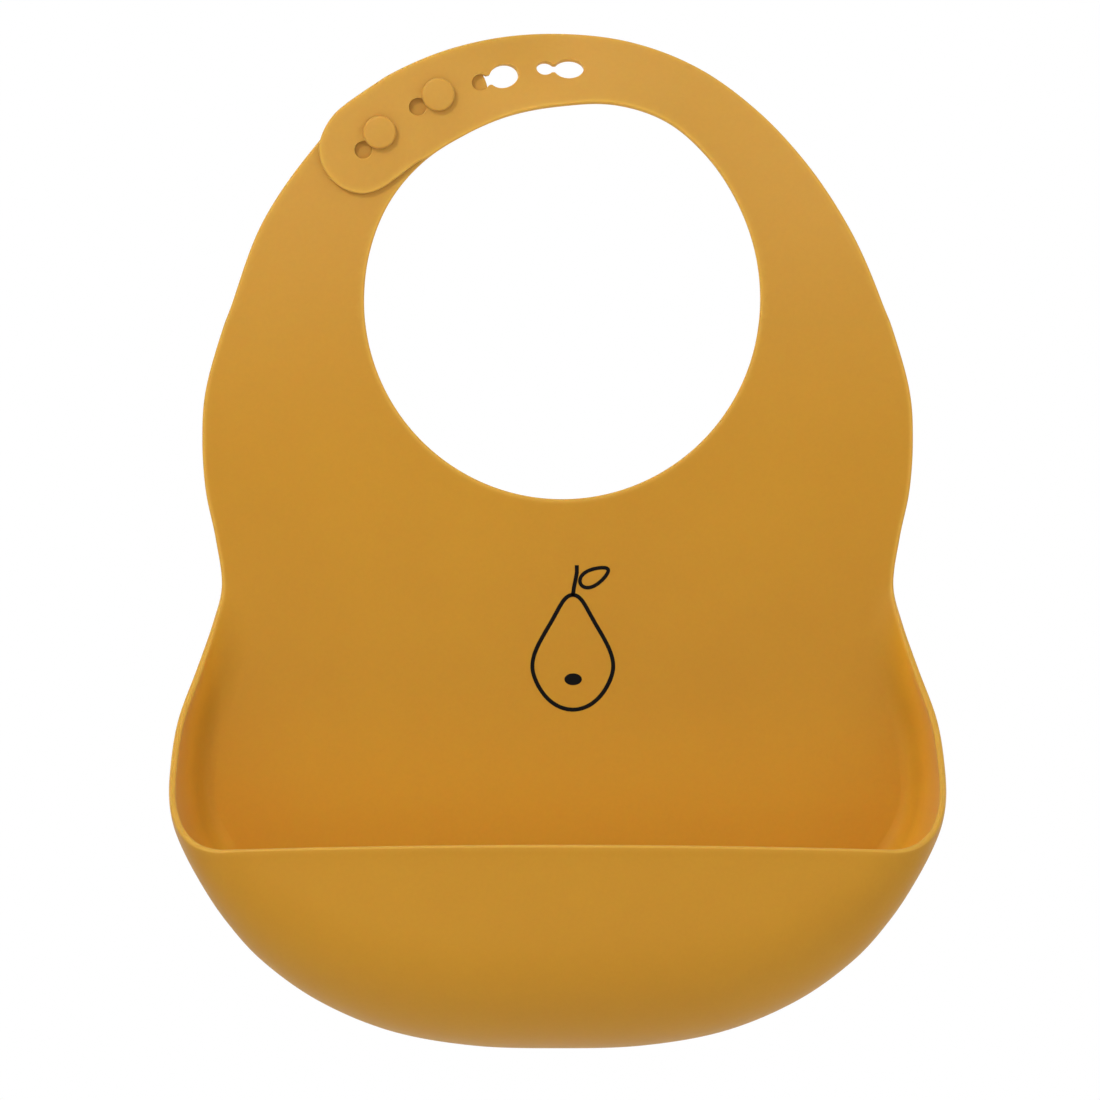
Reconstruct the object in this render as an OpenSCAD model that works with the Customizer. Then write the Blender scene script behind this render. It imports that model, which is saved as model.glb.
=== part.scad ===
// Silicone bib with a scoop pocket at the bottom and a neck strap closed on two studs.
// The bib hangs upright: +Z is up, the front faces -Y and the neck opening's centre is the origin.
// Every soft wall is a sheet of the same thickness, laid out round a neck circle and a body outline.

/* [Sheet] */
// Thickness of the silicone sheet
sheet = 1.6; // [1.2:0.1:2.4]
// Radius of the neck opening
neck_radius = 58.6; // [52:0.1:66]
// Sideways offset of the body from the neck opening
body_shift = -1.3; // [-3:0.1:3]
// Gap left in each bending seam and between loose layers
seam = 0.3; // [0.2:0.05:0.6]

/* [Straps] */
// Height of the line across the shoulders where the straps start
shoulder_z = 4; // [2:0.5:8]
// Largest backward lean of the strap's outer edge, at the top of the neck, in degrees
lean_top = 38; // [0:1:45]
// Angle round the neck where the keyhole end begins to peel
peel_angle = 74; // [70:1:80]
// Angle round the neck where the keyhole end's round tip starts
keyhole_tip_angle = 141; // [138:0.5:144]
// Angle round the neck where the stud strap's round tip starts
stud_tip_angle = 119.5; // [117:0.5:122]

/* [Keyholes and studs] */
// Angle round the neck of the first keyhole
first_hole_angle = 88.3; // [86:0.1:90]
// Angle from one keyhole to the next
hole_step = 16.3; // [15:0.1:18]
// Width of the large end of a keyhole
large_hole = 7.4; // [7:0.1:9]
// Extra length of the large end along the strap
large_hole_stretch = 1.4; // [0:0.1:2]
// Diameter of the small end of a keyhole
small_hole = 5.2; // [4.6:0.1:6]
// Distance from the large end to the small end
small_hole_reach = 7.1; // [6:0.1:8]
// Width of the throat between the two ends
throat = 3.3; // [2.5:0.1:4]
// Diameter of a stud's neck
stud_neck = 5.8; // [5:0.1:6.4]
// Diameter of a stud's head
stud_head = 9.8; // [9:0.1:11]
// Thickness of a stud's head
stud_head_height = 2; // [1.4:0.1:3]

/* [Pocket] */
// Depth of the pocket at the middle of its lip
pocket_depth = 57; // [40:1:65]
// How much shallower the front is at its corners
front_bow = 4; // [0:0.5:8]
// Depth at which the side walls are widest
side_depth = 40; // [30:1:45]
// Depth of the lowest line of the bottom
bottom_depth = 24; // [18:1:30]
// Rounding where the side walls leave the back
side_round = 12; // [8:0.5:16]
// Rounding where the bottom leaves the back
bottom_round = 22; // [16:0.5:28]
// Rounding from the side walls into the front
front_side_round = 18; // [12:0.5:24]
// Rounding from the bottom into the front
front_bottom_round = 32; // [24:0.5:40]
// Height of the lip at its ends
lip_z = -163; // [-168:0.5:-158]
// How much the lip rises at its middle
lip_arch = 1.5; // [0:0.1:4]
// Half the length of the straight part of the lip
lip_half = 99; // [85:0.5:102]
// Width of the bead along the rim
bead_width = 2.4; // [1.8:0.1:3]

/* [Print] */
// Width of the printed line
line_width = 1.2; // [0.8:0.1:2]
// Thickness of the ink
ink = 0.12; // [0.08:0.02:0.3]

/* [Hidden] */
$fn = 48;
half = sheet / 2;
lift = sheet + seam;
// Half-width and height of the body's outline, from the shoulder down to the middle of the bottom
body_edge = [
    [92.6, 10], [99.4, -8.6], [104.3, -26.4], [105.3, -41], [104.3, -56], [101.4, -70], [99.5, -84],
    [102, -95.5], [106.6, -109], [112, -124], [114.2, -138], [114.3, -149], [111.7, -159.6],
    [105.7, -171.5], [97.9, -183.3], [87.1, -195.2], [70.5, -207], [49.2, -215.9], [25, -220.2],
    [0, -221], [-25, -220.2]
];
// Places along that outline, counted in its points
pinch = 6.2;
widest = 11;
corner = 11.5;
lip_end = 13.6;
wall_end = 15;
bottom = 19;
// Every strap radius below is stated at steps of this angle round the neck
turn = 15;
// How far the neck edge is pulled out or in, from the right shoulder over the top to the left
neck_pull = [0, 0.1, 0.4, 1, 2.1, 3, 1.8, -0.6, -1.5, -1.6, -0.4, 0.3, 0.2, 0, 0];
// Outer radius of the keyhole strap, from below the right shoulder to its tip
keyhole_outer = [106.4, 95, 87.6, 83.1, 80.8, 80, 79.4, 79.2, 80.5, 82.9, 86, 88, 90];
// Outer radius of the stud strap, from below the left shoulder to its tip
stud_outer = [109.2, 97.9, 91.7, 86.9, 84.8, 82.2, 80, 79];

// Smooth step from 0 to 1 as x goes from a to b
function ease(a, b, x) = let (t = max(0, min(1, (x - a) / (b - a)))) t * t * (3 - 2 * t);
function unit(v) = v / norm(v);
// Smooth curve through a list of points or numbers, and its direction
function curve(p, k) =
    let (n = len(p), i = max(0, min(floor(k), n - 2)), t = k - i)
    let (a = p[max(i - 1, 0)], b = p[i], c = p[i + 1], d = p[min(i + 2, n - 1)])
    b + t * (c - a) / 2 + t * t * (a - 2.5 * b + 2 * c - d / 2) + t * t * t * (1.5 * (b - c) + (d - a) / 2);
function heading(p, k) = unit(curve(p, k + 0.02) - curve(p, k - 0.02));
function mirrored(p) = [2 * body_shift - p[0], p[1], p[2]];

// The body's outline and the outward direction across it
function edge(k) = curve(body_edge, k) + [body_shift, 0];
function across(k) = let (h = heading(body_edge, k)) [-h[1], h[0]];
// How the pocket's shape changes from the pinch to the corner, and from there to the bottom
function climb(k) = max(0, min(1, (k - pinch + 0.2) / (widest - pinch + 0.2)));
function sink(k) = ease(widest, bottom, k);
function wall_depth(k) =
    k < widest ? side_depth * (0.4 * climb(k) + 0.6 * climb(k) * climb(k))
    : side_depth + (bottom_depth - side_depth) * sink(k);
function back_round(k) =
    k < widest ? side_round * (1 - (1 - climb(k)) * (1 - climb(k)))
    : side_round + (bottom_round - side_round) * sink(k);
function front_round(k) = front_side_round + (front_bottom_round - front_side_round) * sink(k);

// A point of the wall between the back and the widest line: a is 0 at the back, 90 at the line
function wall_point(k, a, off) =
    let (r = back_round(k), d = wall_depth(k), n = across(k))
    let (m = unit([d * sin(a), r * cos(a)]), in = half + r * (1 - sin(a)) - off * m[0])
    let (p = edge(k) - in * n)
    [p[0], -d * (1 - cos(a)) + off * m[1], p[1]];

// The rim as seen from the front: a rounded corner, then the lip
function rim(k) =
    k < lip_end
    ? let (t = (k - widest) / (lip_end - widest), c = edge(widest) - [half, 0], b = [body_shift + lip_half, lip_z])
        (1 - t) * (1 - t) * c + 2 * t * (1 - t) * [b[0] + 0.85 * (c[0] - b[0]), lip_z + 0.4] + t * t * b
    : let (g = pow(max(0, curve(body_edge, k)[0]) / curve(body_edge, lip_end)[0], 1.15))
        [body_shift + lip_half * g, lip_z + lip_arch * (1 - g * g)];
// A point of the front at distance s (0 to 1) from the widest line to the rim
function front_point(k, s, off) =
    let (p = edge(k) - half * across(k), q = rim(k), long = norm(q - p), dir = (q - p) / long)
    let (r = front_round(k), d = long * s, a = acos(max(0, 1 - d / r)), base = wall_depth(k))
    let (at = p + dir * d, wide = (at[0] - body_shift) / lip_half)
    let (rise = pocket_depth - half - front_bow * wide * wide - base)
    let (m = unit([rise * cos(a), r * sin(a)]))
    [at[0] - off * m[0] * dir[0], -base - rise * sin(a) - off * m[1], at[1] - off * m[0] * dir[1]];

// Lean of the strap, and a frame on it: along the strap, across it, and out of its front
function lean(q) = lean_top * ease(5, 80, q) * (1 - ease(88, 120, q));
function along(q) = [-sin(q), 0, cos(q)];
function outward(q) = [cos(lean(q)) * cos(q), sin(lean(q)), cos(lean(q)) * sin(q)];
function facing(q) = [sin(lean(q)) * cos(q), -cos(lean(q)), sin(lean(q)) * sin(q)];
function inner(q) = neck_radius + curve(neck_pull, q / turn + 1);
function keyhole_width(q) = (curve(keyhole_outer, q / turn + 1) - inner(q)) / cos(lean(q));
function stud_width(q) = (curve(stud_outer, 13 - q / turn) - inner(q)) / cos(lean(q));
function raised(q) = lift * ease(peel_angle + 4, 100, q);
// A point on a strap: w is how far across it lies, off how far in front of the middle of the sheet
function strap_point(q, w, off) =
    [inner(q) * cos(q), 0, inner(q) * sin(q)] + w * outward(q) + off * facing(q);
function hole_shift(q) = 1.3 * ease(105, 121, q);
function hole_place(q, off) = strap_point(q, keyhole_width(q) / 2 + hole_shift(q), off);

// Closed sheet between two equal grids of points
module sheet_between(front, back) {
    m = len(front);
    n = len(front[0]);
    s = m * n;
    points = concat([for (r = front) each r], [for (r = back) each r]);
    faces = concat(
        [for (i = [0 : m - 2]) for (j = [0 : n - 2]) each
            [[i * n + j, i * n + j + 1, i * n + n + j + 1], [i * n + j, i * n + n + j + 1, i * n + n + j]]],
        [for (i = [0 : m - 2]) for (j = [0 : n - 2]) each
            [[s + i * n + j, s + i * n + n + j + 1, s + i * n + j + 1],
             [s + i * n + j, s + i * n + n + j, s + i * n + n + j + 1]]],
        [for (j = [0 : n - 2]) each
            [[j, s + j, s + j + 1], [j, s + j + 1, j + 1]]],
        [for (j = [0 : n - 2], b = [s - n]) each
            [[b + j, b + j + 1, s + b + j + 1], [b + j, s + b + j + 1, s + b + j]]],
        [for (i = [0 : m - 2]) each
            [[i * n, i * n + n, s + i * n + n], [i * n, s + i * n + n, s + i * n]]],
        [for (i = [0 : m - 2], b = [n - 1]) each
            [[b + i * n, s + b + i * n + n, b + i * n + n], [b + i * n, s + b + i * n, s + b + i * n + n]]]
    );
    polyhedron(points, faces);
}

// Closed bar through a list of equal loops of points
module bar_through(loops) {
    m = len(loops);
    n = len(loops[0]);
    points = [for (l = loops) each l];
    faces = concat(
        [[for (j = [n - 1 : -1 : 0]) j]],
        [for (i = [0 : m - 2]) for (j = [0 : n - 1], e = [(j + 1) % n]) each
            [[i * n + j, i * n + e, i * n + n + e], [i * n + j, i * n + n + e, i * n + n + j]]],
        [[for (j = [0 : n - 1]) (m - 1) * n + j]]
    );
    polyhedron(points, faces);
}

// Flat upper body and back of the pocket
module chest_panel() {
    side = [for (k = [0 : 0.25 : pinch]) edge(k)];
    back = [for (k = [pinch : 0.2 : bottom]) edge(k) - (half + back_round(k)) * across(k)];
    right = concat(side, back, [[body_shift, edge(bottom)[1] + half + bottom_round]]);
    count = len(right);
    left = [for (i = [count - 2 : -1 : 0]) [2 * body_shift - right[i][0], right[i][1]]];
    color([0.62, 0.33, 0.07])
    difference() {
        translate([0, half, 0])
            rotate([90, 0, 0])
                linear_extrude(sheet)
                    polygon(concat(right, left));
        translate([0, 2 * sheet, 0])
            rotate([90, 0, 0])
                cylinder(r = neck_radius, h = 4 * sheet, $fn = 160);
        translate([-150, -50, shoulder_z - seam / 2])
            cube([300, 100, 50]);
    }
}

function wall_grid(from, to, last, off) =
    [for (i = [0 : 14], k = [from + (to - from) * i / 14])
        [for (a = [0, 14, 28, 42, 56, 72, last]) wall_point(k, a, off)]];

module side_wall(flip) {
    front = wall_grid(pinch, wall_end, 89.3, -half);
    back = wall_grid(pinch, wall_end, 89.3, half);
    f = flip ? [for (r = front) [for (p = r) mirrored(p)]] : front;
    b = flip ? [for (r = back) [for (p = r) mirrored(p)]] : back;
    color([0.60, 0.31, 0.06])
    sheet_between(f, b);
}

module side_wall_left() {
    side_wall(true);
}

module side_wall_right() {
    side_wall(false);
}

// Rounded bottom from one side wall to the other, behind the widest line
module pocket_floor() {
    function half_grid(off) = wall_grid(wall_end, bottom, 89, off);
    function whole(g) = concat(g, [for (i = [len(g) - 2 : -1 : 0]) [for (p = g[i]) mirrored(p)]]);
    color([0.58, 0.32, 0.08])
    sheet_between(whole(half_grid(-half)), whole(half_grid(half)));
}

// Front of the pocket, in front of the widest line
module pocket_scoop() {
    steps = [for (i = [0 : 8]) corner + (14 - corner) * i / 8];
    rest = [for (i = [1 : 10]) 14 + (bottom - 14) * i / 10];
    function half_grid(off) =
        [for (k = concat(steps, rest)) [for (j = [0 : 12]) front_point(k, pow(j / 12, 1.7), off)]];
    function whole(g) = concat(g, [for (i = [len(g) - 2 : -1 : 0]) [for (p = g[i]) mirrored(p)]]);
    color([0.64, 0.35, 0.08])
    sheet_between(whole(half_grid(half)), whole(half_grid(-half)));
}

// Half-round section of the rim bead, standing on a sheet's edge
bead_section = concat(
    [for (a = [0 : 30 : 180]) [cos(a), sin(a)] * bead_width / 2 + [0, 0.4]],
    [[-bead_width / 2, 0], [bead_width / 2, 0]]
);
// A loop of it where the sheet's edge runs along the direction go, from its outer to its inner face
function bead_loop(outer, inner, go) =
    let (out = unit(outer - inner), up = unit(cross(go, out)))
    [for (s = bead_section) (outer + inner) / 2 + s[0] * out + s[1] * up];

// Bead along the front lip, from corner to corner
module pocket_lip() {
    steps = [for (i = [0 : 9]) corner + (14 - corner) * i / 9];
    rest = [for (i = [1 : 10]) 14 + (bottom - 14) * i / 10];
    right = [for (k = concat(steps, rest))
        bead_loop(front_point(k, 1, half), front_point(k, 1, -half),
            front_point(k + 0.03, 1, 0) - front_point(k - 0.03, 1, 0))];
    left = [for (i = [len(right) - 2 : -1 : 0]) [for (p = right[i]) mirrored(p)]];
    color([0.78, 0.50, 0.16])
    bar_through(concat(right, left));
}

module rim_bead(flip) {
    loops = [for (i = [0 : 14], k = [pinch + (corner - 0.1 - pinch) * i / 14])
        bead_loop(wall_point(k, 89.3, half), wall_point(k, 89.3, -half),
            wall_point(k + 0.03, 89.3, 0) - wall_point(k - 0.03, 89.3, 0))];
    color([0.78, 0.50, 0.16])
    bar_through(flip ? [for (l = loops) [for (p = l) mirrored(p)]] : loops);
}

module rim_bead_left() {
    rim_bead(true);
}

module rim_bead_right() {
    rim_bead(false);
}

// Strap under the closure, from the left shoulder to its round tip
module stud_strap() {
    band = [for (i = [0 : 24]) [186 + (stud_tip_angle - 186) * i / 24, 1]];
    reach = stud_width(stud_tip_angle) / 2;
    mid = inner(stud_tip_angle) + reach;
    tip = [for (a = [12 : 12 : 84]) [stud_tip_angle - reach * sin(a) / mid * 180 / PI, cos(a)]];
    function face(off) = [for (s = concat(band, tip)) let (w = stud_width(s[0]) / 2)
        [for (j = [-1 : 1]) strap_point(s[0], w + j * w * s[1], off)]];
    color([0.66, 0.38, 0.10])
    difference() {
        sheet_between(face(half), face(-half));
        translate([-150, -50, shoulder_z + seam / 2 - 50])
            cube([300, 100, 50]);
    }
}

// Strap from the right shoulder up to the place where its end can be peeled
module keyhole_strap() {
    last = peel_angle - seam / 2 / neck_radius * 180 / PI;
    stations = [for (i = [0 : 22]) -5 + (last + 5) * i / 22];
    function face(off) = [for (q = stations)
        [for (j = [0 : 2]) strap_point(q, keyhole_width(q) * j / 2, off)]];
    color([0.68, 0.40, 0.11])
    difference() {
        sheet_between(face(half), face(-half));
        translate([-150, -50, shoulder_z + seam / 2 - 50])
            cube([300, 100, 50]);
    }
}

// One keyhole cutter, its large end at the middle and its small end toward the tip
module keyhole(q) {
    at = hole_place(q, raised(q));
    t = along(q);
    o = outward(q);
    f = facing(q);
    multmatrix([[t[0], o[0], -f[0], at[0]], [t[1], o[1], -f[1], at[1]], [t[2], o[2], -f[2], at[2]]])
        union() {
            for (side = [-1, 1])
                translate([side * large_hole_stretch / 2, 0, -5])
                    cylinder(d = large_hole, h = 10);
            translate([small_hole_reach, 0, -5])
                cylinder(d = small_hole, h = 10);
            translate([0, -throat / 2, -5])
                cube([small_hole_reach, throat, 10]);
        }
}

// End of the keyhole strap, lying over the stud strap
module strap_end() {
    first = peel_angle + seam / 2 / neck_radius * 180 / PI;
    band = [for (i = [0 : 22]) [first + (keyhole_tip_angle - first) * i / 22, 1]];
    reach = keyhole_width(keyhole_tip_angle) / 2;
    mid = inner(keyhole_tip_angle) + reach;
    tip = [for (a = [12 : 12 : 84]) [keyhole_tip_angle + reach * sin(a) / mid * 180 / PI, cos(a)]];
    function face(off) = [for (s = concat(band, tip)) let (w = keyhole_width(s[0]) / 2)
        [for (j = [-1 : 1]) strap_point(s[0], w + j * w * s[1], off + raised(s[0]))]];
    color([0.70, 0.42, 0.12])
    difference() {
        sheet_between(face(half), face(-half));
        for (i = [0 : 3])
            keyhole(first_hole_angle + i * hole_step);
    }
}

// Stud with a neck through the keyhole and a rounded head
module stud(i) {
    neck = lift + half + seam;
    head = stud_head / 2;
    rim_round = stud_head_height / 2;
    side = [for (a = [-90 : 18 : 90]) [head + rim_round * (cos(a) - 1), neck + rim_round * (1 + sin(a))]];
    at = hole_place(first_hole_angle + i * hole_step, 0);
    color([0.72, 0.45, 0.14])
    translate([at[0], 0, at[2]])
        rotate([90, 0, 0])
            rotate_extrude()
                polygon(concat([[0, half], [stud_neck / 2, half], [stud_neck / 2, neck]], side,
                    [[0, neck + stud_head_height]]));
}

module stud_upper() {
    stud(2);
}

module stud_lower() {
    stud(3);
}

// Ink laid on the chest
module ink_layer() {
    translate([0, -half, 0])
        rotate([90, 0, 0])
            linear_extrude(ink)
                children();
}

// Closed line of ink round a loop of points
module ink_line(loop) {
    n = len(loop);
    function side_of(i) = let (d = unit(loop[(i + 1) % n] - loop[(i + n - 1) % n])) [-d[1], d[0]];
    function moved(o) = [for (i = [0 : n - 1]) loop[i] + o * side_of(i)];
    ink_layer()
        polygon(concat(moved(line_width / 2), moved(-line_width / 2)),
            [[for (i = [0 : n - 1]) i], [for (i = [0 : n - 1]) n + i]]);
}

// Plain pear and leaf in outline
module printed_outline() {
    pear_width = 12.6;
    pear_low = -121;
    pear_tall = 34;
    pear = [for (a = [0 : 10 : 350]) let (up = (1 - cos(a)) / 2, slim = 1 - 0.5 * ease(0.3, 0.95, up))
        [3.2 + pear_width * sin(a) * slim, pear_low + pear_tall * up]];
    leaf = [for (a = [0 : 20 : 340]) let (s = 4.6 * cos(a), w = 2.3 * sin(a) * (1 - 0.3 * cos(a)))
        [9.6 + s * cos(28) - w * sin(28), -81.6 + s * sin(28) + w * cos(28)]];
    color([0.03, 0.03, 0.03])
    union() {
        ink_line(pear);
        ink_line(leaf);
        ink_layer()
            polygon([[2.6, -87.2], [3.8, -87.2], [4.8, -82.6], [4.9, -78.4], [3.7, -78.2], [3.6, -82.4]]);
    }
}

module printed_spot() {
    color([0.03, 0.03, 0.03])
    translate([3.3, -half, -112])
        rotate([90, 0, 0])
            scale([1.5, 1, 1])
                cylinder(r = 1.75, h = ink);
}

chest_panel();
side_wall_left();
side_wall_right();
pocket_floor();
rim_bead_left();
rim_bead_right();
pocket_scoop();
pocket_lip();
stud_strap();
stud_lower();
stud_upper();
keyhole_strap();
strap_end();
printed_outline();
printed_spot();
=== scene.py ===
import math
import bpy
import numpy as np
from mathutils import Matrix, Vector, geometry, kdtree


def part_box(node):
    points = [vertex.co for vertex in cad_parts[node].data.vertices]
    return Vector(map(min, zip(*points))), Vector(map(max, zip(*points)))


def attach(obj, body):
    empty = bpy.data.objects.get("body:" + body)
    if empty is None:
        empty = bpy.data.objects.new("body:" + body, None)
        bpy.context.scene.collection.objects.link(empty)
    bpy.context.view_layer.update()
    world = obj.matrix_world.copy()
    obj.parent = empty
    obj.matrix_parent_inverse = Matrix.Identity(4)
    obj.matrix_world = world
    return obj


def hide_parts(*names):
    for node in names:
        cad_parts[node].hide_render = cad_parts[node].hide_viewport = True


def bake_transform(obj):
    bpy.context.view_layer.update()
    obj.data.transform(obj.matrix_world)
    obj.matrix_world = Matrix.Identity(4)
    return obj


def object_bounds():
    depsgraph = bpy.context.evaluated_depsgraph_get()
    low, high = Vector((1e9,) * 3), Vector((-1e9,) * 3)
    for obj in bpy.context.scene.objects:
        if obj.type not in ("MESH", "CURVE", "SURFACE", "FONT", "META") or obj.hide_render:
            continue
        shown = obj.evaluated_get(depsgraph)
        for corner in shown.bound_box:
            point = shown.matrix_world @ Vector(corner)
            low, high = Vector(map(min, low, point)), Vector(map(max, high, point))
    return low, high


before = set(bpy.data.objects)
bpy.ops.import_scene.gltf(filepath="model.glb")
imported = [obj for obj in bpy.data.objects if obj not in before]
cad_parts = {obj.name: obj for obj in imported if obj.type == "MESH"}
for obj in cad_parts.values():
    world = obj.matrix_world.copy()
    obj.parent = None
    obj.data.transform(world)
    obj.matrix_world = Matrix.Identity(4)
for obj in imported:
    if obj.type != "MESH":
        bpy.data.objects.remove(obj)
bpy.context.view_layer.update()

# ---------------------------------------------------------------- sizes, in millimetres and degrees
MM = 0.001
HALF = 0.8                     # half the sheet's thickness
EDGE_FILLET = 0.55
HOLE_FILLET = 0.15
RIM_HALF, RIM_FILLET = 1.05, 0.9
RIM_REACH = 1.7                # how far the rim's extra thickness reaches
NECK = 58.6                    # radius of the neck opening
SHIFT = -1.3                   # the body's middle, seen from the neck opening's centre
LIFT = 1.9                     # how far the upper strap stands off the lower one
LEAN = 38.0                    # the straps' steepest lean
SEAM_Z = -6.0                  # where the straps' meshes meet the chest's, below both lean hinges
SPLIT = 62.0                   # angle round the neck where the strap end's mesh starts
BODY = [(92.6, 10), (99.4, -8.6), (104.3, -26.4), (105.3, -41), (104.3, -56), (101.4, -70), (99.5, -84),
        (102, -95.5), (106.6, -109), (112, -124), (114.2, -138), (114.3, -149), (111.7, -159.6),
        (105.7, -171.5), (97.9, -183.3), (87.1, -195.2), (70.5, -207), (49.2, -215.9), (25, -220.2),
        (0, -221), (-25, -220.2)]
KNOT_STEP = 15                 # between the knots of the next three, which run round the neck
PULL = [0, 0.1, 0.4, 1, 2.1, 3, 1.8, -0.6, -1.5, -1.6, -0.4, 0.3, 0.2, 0, 0]
OVER = [106.4, 95, 87.6, 83.1, 80.8, 80, 79.4, 79.2, 80.5, 82.9, 86, 88, 90]
UNDER = [109.2, 97.9, 91.7, 86.9, 84.8, 82.2, 80, 79]
PINCH, WIDEST, LIP_END, BOTTOM = 6.0, 11.0, 13.6, 19.0
SIDE_DEPTH, BOTTOM_DEPTH, POCKET_DEPTH, BOW = 40.0, 24.0, 57.0, 4.0
SIDE_ROUND, BOTTOM_ROUND = 12.0, 22.0
FRONT_SIDE_ROUND, FRONT_BOTTOM_ROUND = 18.0, 32.0
LIP_Z, LIP_ARCH, LIP_HALF = -163.0, 1.5, 99.0
LIP_SPREAD = 1.15              # how the lip's points crowd toward the middle
CORNER_PULL, CORNER_DROP = 0.85, 0.4    # the control point of the rim's corner
CORNER_ROUND = 0.4             # share of the front's radius at the rim's corner
TOP_ANGLE = 22                 # how steeply the side wall starts beside the chest
FIRST_HOLE, HOLE_PITCH, HOLES = 88.3, 16.3, 4
HOLE_LONG, HOLE_WIDE = 4.4, 3.7
SLOT_ROUND, SLOT_AT, SLOT_NECK = 2.6, 7.1, 1.65
EDGE_STEP, TIP_STEP, HOLE_STEP = 1.2, 0.7, 0.4      # lengths of mesh edges along the straps' borders


def ease(a, b, x):
    """0 before a, 1 after b, smooth between."""
    t = max(0.0, min(1.0, (x - a) / (b - a)))
    return t * t * (3 - 2 * t)


def curve(p, k):
    """Catmull-Rom curve through the knots p, at knot number k."""
    n = len(p)
    i = max(0, min(int(math.floor(k)), n - 2))
    t = k - i
    a, b, c, d = (np.asarray(p[j], float) for j in (max(i - 1, 0), i, i + 1, min(i + 2, n - 1)))
    return b + t * (c - a) / 2 + t * t * (a - 2.5 * b + 2 * c - d / 2) + t ** 3 * (1.5 * (b - c) + (d - a) / 2)


def unit(v):
    return v / np.linalg.norm(v)


# ---------------------------------------------------------------- the body's surface
def edge(k):
    """The outline on the wearer's left, k knots down from the shoulder."""
    return curve(BODY, k) + np.array([SHIFT, 0.0])


def across(k):
    """Unit vector out of the outline."""
    if k >= BOTTOM:
        return np.array([0.0, -1.0])
    h = unit(curve(BODY, k + 0.02) - curve(BODY, k - 0.02))
    return np.array([-h[1], h[0]])


def climb(k):
    return max(0.0, min(1.0, (k - PINCH) / (WIDEST - PINCH)))


def sink(k):
    return ease(WIDEST, BOTTOM, k)


def wall_depth(k):
    if k < WIDEST:
        c = climb(k)
        return SIDE_DEPTH * (0.4 * c + 0.6 * c * c)
    return SIDE_DEPTH + (BOTTOM_DEPTH - SIDE_DEPTH) * sink(k)


def back_round(k):
    if k < WIDEST:
        return SIDE_ROUND * (1 - (1 - climb(k)) ** 2)
    return SIDE_ROUND + (BOTTOM_ROUND - SIDE_ROUND) * sink(k)


FLARE = 4.4                    # where the side starts to turn forward


def footprint(k):
    """How far in from the edge the side wall starts to curve forward."""
    return SIDE_ROUND * ease(FLARE, 7.5, k) if k < WIDEST else back_round(k)


def end_angle(k):
    return 90.0 if k >= WIDEST else TOP_ANGLE + (90 - TOP_ANGLE) * ease(PINCH, 10.4, k)


def rim_inset(k):
    return EDGE_FILLET + (HALF - EDGE_FILLET) * ease(PINCH, 9, k)


def wall_point(k, a):
    """a runs from 0 at the back to 90 at the widest line, or at the rim beside the chest."""
    top = math.radians(end_angle(k))
    a = math.radians(a) * end_angle(k) / 90
    r, d = footprint(k), wall_depth(k)
    p = edge(k) - (rim_inset(k) + r * (1 - math.sin(a) / math.sin(top))) * across(k)
    return np.array([p[0], -d * (1 - math.cos(a)) / (1 - math.cos(top)), p[1]])


def rim(k):
    """The pocket's rim as seen from the front: a round corner, then the lip."""
    b = np.array([SHIFT + LIP_HALF, LIP_Z])
    if k < LIP_END:
        t = (k - WIDEST) / (LIP_END - WIDEST)
        c = edge(WIDEST) - HALF * across(WIDEST)
        m = np.array([b[0] + CORNER_PULL * (c[0] - b[0]), LIP_Z + CORNER_DROP])
        return (1 - t) ** 2 * c + 2 * t * (1 - t) * m + t * t * b
    g = (max(0.0, curve(BODY, k)[0]) / curve(BODY, LIP_END)[0]) ** LIP_SPREAD
    return np.array([SHIFT + LIP_HALF * g, LIP_Z + LIP_ARCH * (1 - g * g)])


def front_point(k, d):
    """d is the distance in mm from the widest line toward the rim, as seen from the front."""
    p = edge(k) - HALF * across(k)
    q = rim(k)
    along = unit(q - p)
    r = FRONT_SIDE_ROUND + (FRONT_BOTTOM_ROUND - FRONT_SIDE_ROUND) * sink(k)
    r *= CORNER_ROUND + (1 - CORNER_ROUND) * ease(WIDEST, LIP_END, k)
    a = math.acos(max(0.0, 1 - d / r))
    base = wall_depth(k)
    at = p + along * d
    wide = (at[0] - SHIFT) / LIP_HALF
    rise = POCKET_DEPTH - HALF - BOW * wide * wide - base
    return np.array([at[0], -base - rise * math.sin(a), at[1]])


def neck(q):
    """Radius of the opening at q degrees round it."""
    return NECK + (float(curve(PULL, q / KNOT_STEP + 1)) if -KNOT_STEP < q < 180 + KNOT_STEP else 0.0)


def lean(q):
    return LEAN * ease(5, 80, q) * (1 - ease(88, 120, q))


def raised(q):
    return LIFT * ease(78, 100, q)


# ---------------------------------------------------------------- from a middle surface to a sheet with thickness
EDGE_HIGHLIGHT_FADE = 0.6                 # how far the painted highlight along the edges reaches onto the skins


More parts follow.
